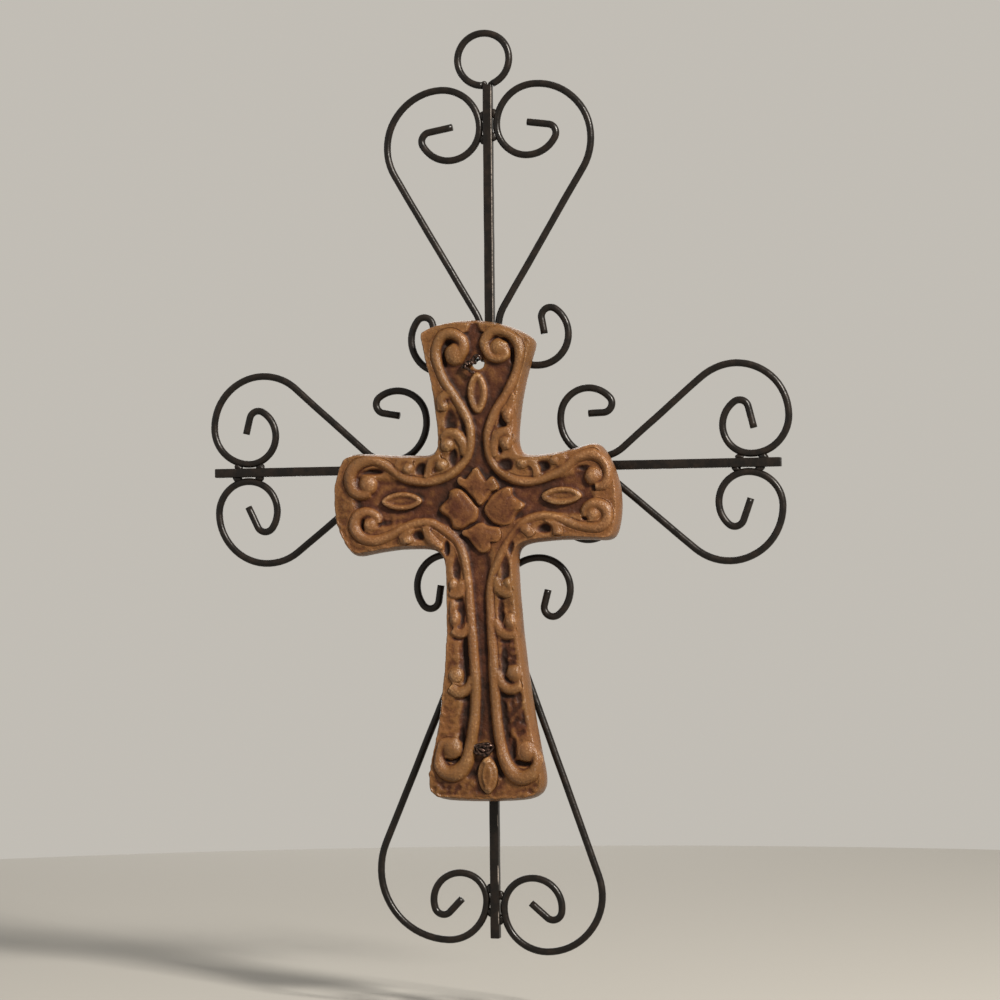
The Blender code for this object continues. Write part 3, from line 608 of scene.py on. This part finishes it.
# Petals of the middle flower: their edges, corner by corner
petals = (
    ((-1.2, 14.0), (-3.1, 12.8), (-4.7, 10.7), (-6.2, 9.0), (-7.6, 9.2), (-8.8, 10.1), (-9.7, 8.6),
     (-9.0, 6.4), (-6.4, 4.6), (-3.9, 1.8), (-1.8, -0.7), (-0.4, -2.7), (1.3, -2.2), (3.3, 0.4),
     (5.2, 2.9), (8.0, 4.1), (8.6, 5.4), (7.4, 8.2), (5.7, 9.8), (4.3, 9.2), (2.9, 8.2), (1.5, 10.2),
     (0.2, 12.4)),
    ((-11.0, 4.8), (-13.6, 3.8), (-14.2, 0.7), (-16.6, -1.4), (-18.5, -3.7), (-17.1, -5.8),
     (-14.0, -7.5), (-12.8, -9.6), (-12.4, -11.7), (-10.7, -12.8), (-7.8, -12.6), (-5.3, -11.0),
     (-2.6, -9.6), (-0.9, -6.8), (-0.9, -3.9), (-2.6, -1.8), (-4.9, 1.1), (-7.2, 3.4), (-8.9, 4.7)),
    ((14.5, 4.5), (12.0, 5.0), (8.9, 3.7), (5.8, 1.6), (3.9, -0.8), (2.0, -3.6), (2.2, -6.0),
     (4.3, -9.0), (7.3, -11.0), (10.8, -11.8), (13.4, -11.4), (15.0, -9.9), (15.6, -7.8), (16.8, -6.1),
     (18.8, -4.6), (20.1, -2.8), (17.9, -1.0), (15.3, 0.8), (14.5, 2.6)),
    ((-1.2, -10.6), (-2.8, -11.5), (-5.4, -12.9), (-7.6, -13.6), (-8.1, -14.9), (-5.2, -17.2),
     (-3.2, -19.8), (-1.3, -22.0), (0.7, -23.3), (3.0, -22.8), (4.5, -20.9), (4.2, -18.8), (5.8, -18.7),
     (7.6, -18.9), (9.2, -17.2), (9.5, -14.8), (8.2, -12.6), (5.7, -12.2), (3.2, -11.6), (1.0, -10.4)),
)
petalForm = dict(proud=1.6, edge=1.2, rim=1.8, groove=-0.25, dome=0.2)
budForm = dict(proud=2.1, edge=0.9, rim=1.7, groove=0.95, dome=0.35)
topBudForm = dict(proud=1.6, edge=1.3, rim=1.2, groove=-0.35, dome=0.5)


def stroke(points, fullness, relief):
    rows = smoothPoints(points, pieces=6)
    radii = [radius * fullness for x, z, radius in rows]
    shape = tube([(x, 0.0, z) for x, z, radius in rows], radii, sides=14)
    bmesh.ops.scale(shape, vec=(1, relief, 1), verts=shape.verts)
    bmesh.ops.translate(shape, vec=(0, clay["sunk"], 0), verts=shape.verts)
    return shape


def lump(x, z, halfWidth, halfHeight, proud):
    shape = bmesh.new()
    bmesh.ops.create_uvsphere(shape, u_segments=24, v_segments=16, radius=1.0)
    rise = proud + clay["sunk"] + clay["lumpRise"]
    size = (halfWidth * clay["lumpFull"], rise, halfHeight * clay["lumpFull"])
    bmesh.ops.scale(shape, vec=size, verts=shape.verts)
    bmesh.ops.translate(shape, vec=(x, clay["sunk"], z), verts=shape.verts)
    return shape


def raisedForm(outline, form):
    # a plate on the ground with a rounded edge, a raised rim and a low dome inside it
    shape = bmesh.new()
    face = shape.faces.new([shape.verts.new((x, clay["rooted"], z)) for x, z in outline])
    grown = bmesh.ops.extrude_face_region(shape, geom=[face])
    moved = [item for item in grown["geom"] if isinstance(item, bmesh.types.BMVert)]
    bmesh.ops.translate(shape, vec=(0, -clay["rooted"] - form["proud"], 0), verts=moved)
    front = next(item for item in grown["geom"] if isinstance(item, bmesh.types.BMFace))
    bmesh.ops.bevel(shape, geom=list(front.edges), offset=form["edge"], offset_type="OFFSET", segments=3,
                    profile=0.5, affect="EDGES", clamp_overlap=True, material=-1)
    front = min((f for f in shape.faces if len(f.verts) > 8), key=lambda f: f.calc_center_median().y)
    bmesh.ops.inset_individual(shape, faces=[front], thickness=form["rim"] * 0.5, depth=0.0)
    bmesh.ops.inset_individual(shape, faces=[front], thickness=form["rim"] * 0.5, depth=-form["groove"])
    bmesh.ops.inset_individual(shape, faces=[front], thickness=form["rim"] * 0.8, depth=form["dome"])
    bmesh.ops.recalc_face_normals(shape, faces=shape.faces)
    return shape


def budOutline(x, z, halfWidth, halfLength, lying):
    # two arcs that meet in points
    count = 24
    points = []
    for number in range(count):
        angle = 2 * math.pi * number / count
        across = halfWidth * math.sin(angle) * abs(math.sin(angle)) ** 0.25
        along = halfLength * math.cos(angle)
        points.append((x + along, z + across) if lying else (x + across, z + along))
    return points


clayHoles = (59.4, -108.5)  # heights of the two tie holes


def clayBody():
    # the plain body: the packed clay with its carving sliced off just under the ground
    shape = bmesh.new()
    shape.from_mesh(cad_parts["clay_cross"].data)
    bmesh.ops.remove_doubles(shape, verts=shape.verts, dist=0.00001)
    bmesh.ops.transform(shape, matrix=clayPlace.inverted(), verts=shape.verts)
    cut = bmesh.ops.bisect_plane(shape, geom=list(shape.verts) + list(shape.edges) + list(shape.faces),
                                 plane_co=(0, clay["sliced"], 0), plane_no=(0, -1, 0), clear_outer=True)
    edges = [item for item in cut["geom_cut"] if isinstance(item, bmesh.types.BMEdge)]
    toHoles = [min(abs(edge.verts[0].co.x) + abs(edge.verts[0].co.z - hole) for hole in clayHoles)
               for edge in edges]
    outline = [[(vert.co.x, vert.co.z, 0) for vert in edge.verts]
               for edge, toHole in zip(edges, toHoles) if toHole > clay["holeRim"]]
    bmesh.ops.triangle_fill(shape, use_beauty=True, edges=edges)
    bmesh.ops.recalc_face_normals(shape, faces=shape.faces)
    return shape, np.array(outline)


def applyModifiers(name, mesh, *modifiers):
    holder = bpy.data.objects.new(name, mesh)
    bpy.context.scene.collection.objects.link(holder)
    for kind, settings in modifiers:
        modifier = holder.modifiers.new(kind.lower(), kind)
        for key, value in settings.items():
            setattr(modifier, key, value)
    made = bpy.data.meshes.new_from_object(holder.evaluated_get(bpy.context.evaluated_depsgraph_get()))
    bpy.data.objects.remove(holder)
    bpy.data.meshes.remove(mesh)
    return made


def readPlaces(mesh):
    places = np.empty(len(mesh.vertices) * 3)
    mesh.vertices.foreach_get("co", places)
    return places.reshape(-1, 3)


def readNormals(mesh):
    normals = np.empty(len(mesh.vertices) * 3)
    mesh.vertices.foreach_get("normal", normals)
    return normals.reshape(-1, 3)


def blurred(places, edges, rounds):
    # each point moves towards the mean of its neighbours, many times over
    count = np.bincount(edges.ravel(), minlength=len(places))[:, None]
    for step in range(rounds):
        total = np.empty_like(places)
        for axis in range(places.shape[1]):
            total[:, axis] = (np.bincount(edges[:, 0], places[edges[:, 1], axis], len(places))
                              + np.bincount(edges[:, 1], places[edges[:, 0], axis], len(places)))
        places = 0.3 * places + 0.7 * total / count
    return places


def noiseField(places, size, seed):
    offset = Vector((seed, seed * 0.7, 0))
    return np.array([noise.noise(Vector(place) / size + offset) for place in places])


def softStep(values, low, high):
    part = np.clip((values - low) / (high - low), 0, 1)
    return part * part * (3 - 2 * part)


def nearestLine(places, lines):
    # how far each point is from lines of x, z and half width, seen from the front
    flat = places[:, [0, 2]]
    nearest = np.full(len(flat), np.inf)
    for start, end in lines:
        along = end[:2] - start[:2]
        part = np.clip((flat - start[:2]) @ along / max(along @ along, 1e-9), 0, 1)
        away = np.linalg.norm(flat - start[:2] - part[:, None] * along, axis=1)
        nearest = np.minimum(nearest, away - start[2] * (1 - part) - end[2] * part)
    return nearest


def clayForm():
    # the plain body and everything carved on it, joined into one skin
    shape, outline = clayBody()
    for points in vines.values():
        addShape(shape, stroke(points, 1.0, clay["relief"]))
    for points in leaves:
        addShape(shape, stroke(points, clay["leafFull"], clay["leafRelief"]))
    for values in lumps:
        addShape(shape, lump(*values))
    for corners in petals:
        rows = smoothPoints(corners + corners[:1], pieces=2)[:-1]
        addShape(shape, raisedForm([tuple(row) for row in rows], petalForm))
    for number, values in enumerate(buds):
        addShape(shape, raisedForm(budOutline(*values), budForm if number else topBudForm))
    mesh = applyModifiers(
        "clay", meshFrom("clay", shape),
        ("REMESH", dict(mode="VOXEL", voxel_size=clay["voxel"], adaptivity=0.0)),
        ("SMOOTH", dict(factor=0.5, iterations=clay["softening"])),
    )
    print("clay remeshed:", len(mesh.vertices), "points")
    return mesh, outline


def roughFields(across, height, toOutline, toVine):
    # how far each point lies inside each of the rough fields, from 0 to 1
    lowerRight = softStep(across, 6, 10) * softStep(-height, 38, 62) * softStep(toVine, 0.3, 1.6)
    lowerRight *= softStep(-height, 108, 102) * softStep(toOutline, 2.2, 3.8)
    lowerLeft = softStep(-across, 8, 12) * softStep(-height, 82, 92)
    leftArm = softStep(-across, 34, 40) * softStep(-height, 2, 6) * softStep(toVine, 0.3, 1.6)
    foot = softStep(-height, 108, 120) * softStep(toVine, 0.3, 2.0)
    return lowerRight, lowerLeft, leftArm, foot


def fieldRise(across, height, toOutline, toVine):
    # the ground rises towards the clay's edge, apart from a broad channel at the lower left
    wide = softStep(-across, 4, 6) * softStep(-across, 12.5, 10.5) * softStep(-height, 56, 64)
    wide *= softStep(-height, 112, 106)
    rise = clay["field"] * softStep(toOutline, clay["fieldTo"], clay["fieldFrom"])
    rise *= softStep(toVine - clay["wideChannel"] * wide, -0.9, 0.3)
    fromMiddle = np.abs(across + 1.5 * softStep(height, 64, 72))
    betweenVines = softStep(np.interp(height, innerHeight, innerHalf) - fromMiddle, -0.6, 2.0)
    return rise * (1 - betweenVines)


def roundBack(places, edges, toOutline):
    # round the back and the outer edge, but keep the tie holes
    rounded = blurred(places, edges, clay["roundedBy"])
    behind = np.maximum(softStep(places[:, 1], -0.6, 1.5), 1 - softStep(toOutline, 1.0, 3.2))
    toHole = np.min([np.hypot(places[:, 0], places[:, 2] - hole) for hole in clayHoles], axis=0)
    behind = (behind * softStep(toHole, 6, 9))[:, None]
    places[:, [0, 2]] += behind * (rounded - places)[:, [0, 2]]


def carveClay(places, normals, edges, outline):
    # move the points for the fields, pockets, pebbles and pits, and work out how dark each point is
    # coloured: glaze wash and painted shade in the hollows, rubbed glaze and painted highlight on the high
    # places
    facing = softStep(-normals[:, 1], 0.2, 0.8)
    onGround = facing * (1 - softStep(-places[:, 1], 0.3, 1.2)) * softStep(-places[:, 1], -1.6, -0.4)
    rough = softStep(noiseField(places, clay["pebbleSize"], seed=3), -0.3, 0.5) - 0.4
    wave = noiseField(places, clay["wavySize"], seed=11)
    fine = noiseField(places, clay["pitSize"], seed=23)
    toOutline = nearestLine(places, outline)
    centreLines = [smoothPoints(points, pieces=3) for points in vines.values()]
    toVine = nearestLine(places, [pair for line in centreLines for pair in zip(line, line[1:])])
    across, height = places[:, 0], places[:, 2]
    rise = fieldRise(across, height, toOutline, toVine)
    lowerRight, lowerLeft, leftArm, foot = roughFields(across, height, toOutline, toVine)
    rise -= 0.25 * lowerRight
    for x, z, halfWidth, halfHeight, depth in pockets:
        away = ((across - x) / halfWidth) ** 2 + ((height - z) / halfHeight) ** 2
        rise -= depth * np.exp(-away ** 2 * 0.7)
    low = 1 - softStep(-places[:, 1], 0.4, 2.2)  # the tops of the carving are left alone
    front = softStep(-places[:, 1], -2.5, -0.5)
    rougher = 0.5 + 1.3 * lowerRight + 0.7 * lowerLeft + 0.6 * leftArm + 0.8 * foot
    pebbles = rough * clay["pebble"] * (0.15 + 0.85 * onGround) * rougher
    push = wave * clay["wavy"] * (0.3 + 0.7 * facing) + pebbles - softStep(fine, 0.45, 0.75) * clay["pits"]
    roundBack(places, edges, toOutline)
    places = places + normals * push[:, None]
    places[:, 1] -= rise * low * front * facing
    soft = blurred(places, edges, clay["cavityBy"])
    # the cavity sets the colour: below zero on high places, which get the painted highlight, above zero in
    # hollows, which get the painted shade
    cavity = np.einsum("ij,ij->i", soft - places, normals)
    cavity = np.maximum(cavity, -0.35 - 1.2 * softStep(toOutline, 0.8, 3.0))  # the outer edge gets little of the lighter high-places colour
    flower = np.hypot(places[:, 0] - 0.8, places[:, 2] + 4.5)
    cavity += clay["flowerStain"] * (1 - softStep(flower, 17, 21)) * softStep(-places[:, 1], 0.8, 1.4)
    fields = np.maximum.reduce([lowerRight, 0.6 * lowerLeft, 0.7 * foot, 0.5 * leftArm]) * low
    cavity += (clay["fieldStain"] * facing + 0.85 * pebbles) * fields
    # the sunken ground between the carving is coloured darker, less so out on the side arms
    groundDarkening = clay["groundDarkening"] * (1 - 0.5 * softStep(np.abs(across), 22, 36))
    cavity += groundDarkening * facing * softStep(places[:, 1], -1.0, -0.35) * softStep(-places[:, 1], -3, -1.5)
    print("cavity from", round(cavity.min(), 2), "to", round(cavity.max(), 2))
    return places, cavity


def makeClay(finish):
    mesh, outline = clayForm()
    edges = np.empty(len(mesh.edges) * 2, dtype=np.int64)
    mesh.edges.foreach_get("vertices", edges)
    places, cavity = carveClay(readPlaces(mesh), readNormals(mesh), edges.reshape(-1, 2), outline)
    mesh.vertices.foreach_set("co", places.ravel())
    mesh.attributes.new("cavity", "FLOAT", "POINT").data.foreach_set("value", cavity)
    mesh.update()
    mesh = applyModifiers("clay", mesh, ("DECIMATE", dict(ratio=clay["keep"])))
    mesh.transform(clayPlace)
    print("clay thinned:", len(mesh.polygons), "faces")
    linkMesh("carved_clay", mesh, finish, "fired_clay", "clay_cross")


# Ties: from behind the upright, through the clay's hole and out in front; millimetres from the hole

tieWire = dict(sides=10, beside=3.05, backAt=17.85, through=(13.5, 9.0), barAt=1.4,
               pair=0.6, pointsATurn=9, loose=0.2)
upperTie = dict(
    hole=clayHoles[0], level=2.5, thickness=1.4,
    axis=((-2.2, -1.6, 0.6), (-5.6, -1.7, -0.6)), turns=1.7,  # of the twist
    over=((1.6, 3.0, 1.4), (1.7, -0.2, 1.5), (1.3, -1.5, 2.7), (0.0, -1.9, 3.3), (-1.4, -1.8, 2.5)),
    under=((-1.8, 3.0, 1.0), (-1.4, 0.1, 0.2)),
    overTail=((-6.3, -1.7, -1.0), (-6.7, -1.9, -2.2)),
    underTail=((-5.0, -2.3, -1.9), (-3.8, -2.5, -2.6), (-2.9, -2.4, -3.5), (-2.0, -2.5, -4.1),
               (-1.1, -2.6, -3.8)),
)
lowerTie = dict(
    hole=clayHoles[1], level=0.0, thickness=1.5, core=(Vector((-0.1, -1.0, 0)), (3.3, 1.6, 1.9)),
    over=((2.2, 3.0, 0.2), (2.6, 0.6, 0.8), (2.4, -1.7, 2.2), (-0.6, -2.2, 2.0), (-3.2, -1.6, 1.5),
          (-4.3, -0.9, -0.2), (-3.2, -1.6, -1.7), (-0.4, -2.4, -2.0), (2.6, -1.9, -1.3)),
    under=((-1.6, 3.0, -0.1), (-2.8, 0.4, -1.0), (-2.3, -2.1, 0.4), (0.0, -3.0, 1.3), (2.2, -2.5, 0.2),
           (2.4, -1.6, -2.0), (0.8, -2.0, -2.7), (-1.8, -2.7, -1.2)),
    overTail=((4.2, -1.1, 0.5), (3.6, -2.3, 1.5), (1.6, -3.0, 0.9)),
    underTail=((-2.2, -3.0, 0.9), (-0.6, -3.4, 0.1), (1.0, -3.2, -0.9)),
)


def twistAlong(tie, side):
    start, end = (Vector(point) for point in tie["axis"])
    along = (end - start).normalized()
    across = along.cross(Vector((0, 1, 0))).normalized()
    out = along.cross(across)
    steps = round(tie["turns"] * tieWire["pointsATurn"])
    points = []
    for number in range(steps + 1):
        angle = 2 * math.pi * tie["turns"] * number / steps
        around = (across * math.cos(angle) + out * math.sin(angle)) * side * tieWire["pair"]
        around += noise.noise_vector(Vector((number * 0.31, side * 5.0, tie["hole"]))) * tieWire["loose"]
        points.append(start.lerp(end, number / steps) + around)
    return points


def tieStrand(tie, side):
    # side 1 passes the bar on its right and goes over, side -1 on its left and goes under
    part, tail = ("over", "overTail") if side > 0 else ("under", "underTail")
    behind = tieWire["barAt"] + side * tieWire["beside"]
    level = tie["level"]
    points = [Vector((tieWire["barAt"], tieWire["backAt"], level))]
    points += [Vector((behind, deep, level)) for deep in (tieWire["backAt"], *tieWire["through"])]
    points += [Vector(point) for point in tie[part]]
    if "axis" in tie:
        points += twistAlong(tie, side)
    return points + [Vector(point) for point in tie[tail]]


def makeTie(name, tie, replaced, finish):
    points = tieStrand(tie, -1)[:0:-1] + tieStrand(tie, 1)
    rows = smoothPoints([tuple(point) for point in points], pieces=4)
    shape = tube([tuple(row) for row in rows], [tie["thickness"] / 2] * len(rows), tieWire["sides"])
    if "core" in tie:
        addShape(shape, bead(*tie["core"], seed=4))
    bmesh.ops.translate(shape, vec=(0, 0, tie["hole"]), verts=shape.verts)
    bmesh.ops.transform(shape, matrix=clayPlace, verts=shape.verts)
    linkMesh(name, meshFrom(name, shape), finish, "tie_wire", replaced)


# Stage, light and camera

view = dict(yaw=14.0, pitch=-2.0, roll=-0.552, lens=108.0, sensor=36,
            distance=1.32, lookX=0.0038, lookZ=-0.01444)


def addCamera():
    yaw, pitch, roll = (math.radians(view[key]) for key in ("yaw", "pitch", "roll"))
    target = Vector((barX + view["lookX"], 0, crossingZ + view["lookZ"]))
    away = Vector((math.sin(yaw) * math.cos(pitch), -math.cos(yaw) * math.cos(pitch), math.sin(pitch)))
    right = Vector((math.cos(yaw), math.sin(yaw), 0))
    up = away.cross(right)
    rolledRight = right * math.cos(roll) + up * math.sin(roll)
    rolledUp = up * math.cos(roll) - right * math.sin(roll)
    placed = Matrix((rolledRight, rolledUp, away)).transposed().to_4x4()
    placed.translation = target + away * view["distance"]
    camera = bpy.data.objects.new("camera", bpy.data.cameras.new("camera"))
    bpy.context.scene.collection.objects.link(camera)
    camera.matrix_world = placed
    camera.data.sensor_width = view["sensor"]
    camera.data.lens = view["lens"]
    camera.data.clip_start = 0.05
    bpy.context.scene.camera = camera


stage = dict(
    floorBelow=0.032, radius=0.9, floor=(0.335, 0.325, 0.305),
    air=(0.68, 0.645, 0.585), airStrength=0.79,
)


def addStage():
    shape = bmesh.new()
    bmesh.ops.create_circle(shape, cap_ends=True, segments=96, radius=stage["radius"])
    bmesh.ops.translate(shape, vec=(0, 0, uprightLow.z - stage["floorBelow"]), verts=shape.verts)
    mesh = meshFrom("floor", shape)
    floor = bpy.data.objects.new("floor", mesh)
    bpy.context.scene.collection.objects.link(floor)
    made, tree, shader = newMaterial("pale_floor")
    shader.inputs["Base Color"].default_value = (*stage["floor"], 1)
    shader.inputs["Roughness"].default_value = 0.9
    shader.inputs["Specular IOR Level"].default_value = 0.1
    mesh.materials.append(made)
    world = bpy.data.worlds.new("pale_air")
    world.use_nodes = True
    world.node_tree.nodes["Background"].inputs["Color"].default_value = (*stage["air"], 1)
    world.node_tree.nodes["Background"].inputs["Strength"].default_value = stage["airStrength"]
    bpy.context.scene.world = world


# Each lamp: where it stands, its width and height, its power in watts and its colour
lamps = dict(
    key=((1.20, -0.95, 0.75), (0.24, 0.30), 66, (1.0, 0.94, 0.85)),
    fill=((-1.1, -1.0, 0.1), (0.9, 0.9), 1.5, (0.95, 0.96, 1.0)),
    back=((-0.5, 1.3, 0.1), (0.9, 0.9), 5, (1.0, 0.98, 0.95)),
)


def addLamps():
    middle = Vector((barX, 0, crossingZ))
    for name, (place, size, power, colour) in lamps.items():
        data = bpy.data.lights.new(name, "AREA")
        data.shape = "RECTANGLE"
        data.size, data.size_y = size
        data.energy = power
        data.color = colour
        lamp = bpy.data.objects.new(name, data)
        bpy.context.scene.collection.objects.link(lamp)
        lamp.location = place
        lamp.rotation_euler = (middle - Vector(place)).to_track_quat("-Z", "Y").to_euler()


bpy.context.scene.view_settings.view_transform = "Standard"
addCamera()
addStage()
addLamps()
iron = ironMaterial()
for number, name in enumerate(scrolls):
    makeScroll(name, seed=number * 7.3, finish=iron)
makeRing(iron)
makeBar("upright_bar", uprightLow, uprightHigh, longAxis=2, seed=5.0, finish=iron)
makeBar("cross_bar", crossBarLow, crossBarHigh, longAxis=0, seed=9.0, finish=iron)
crossingWelds(iron)
print("iron made")
makeClay(clayMaterial())
tieFinish = tieMaterial()
makeTie("upper_tie", upperTie, "tie_upper", tieFinish)
makeTie("lower_tie", lowerTie, "tie_lower", tieFinish)
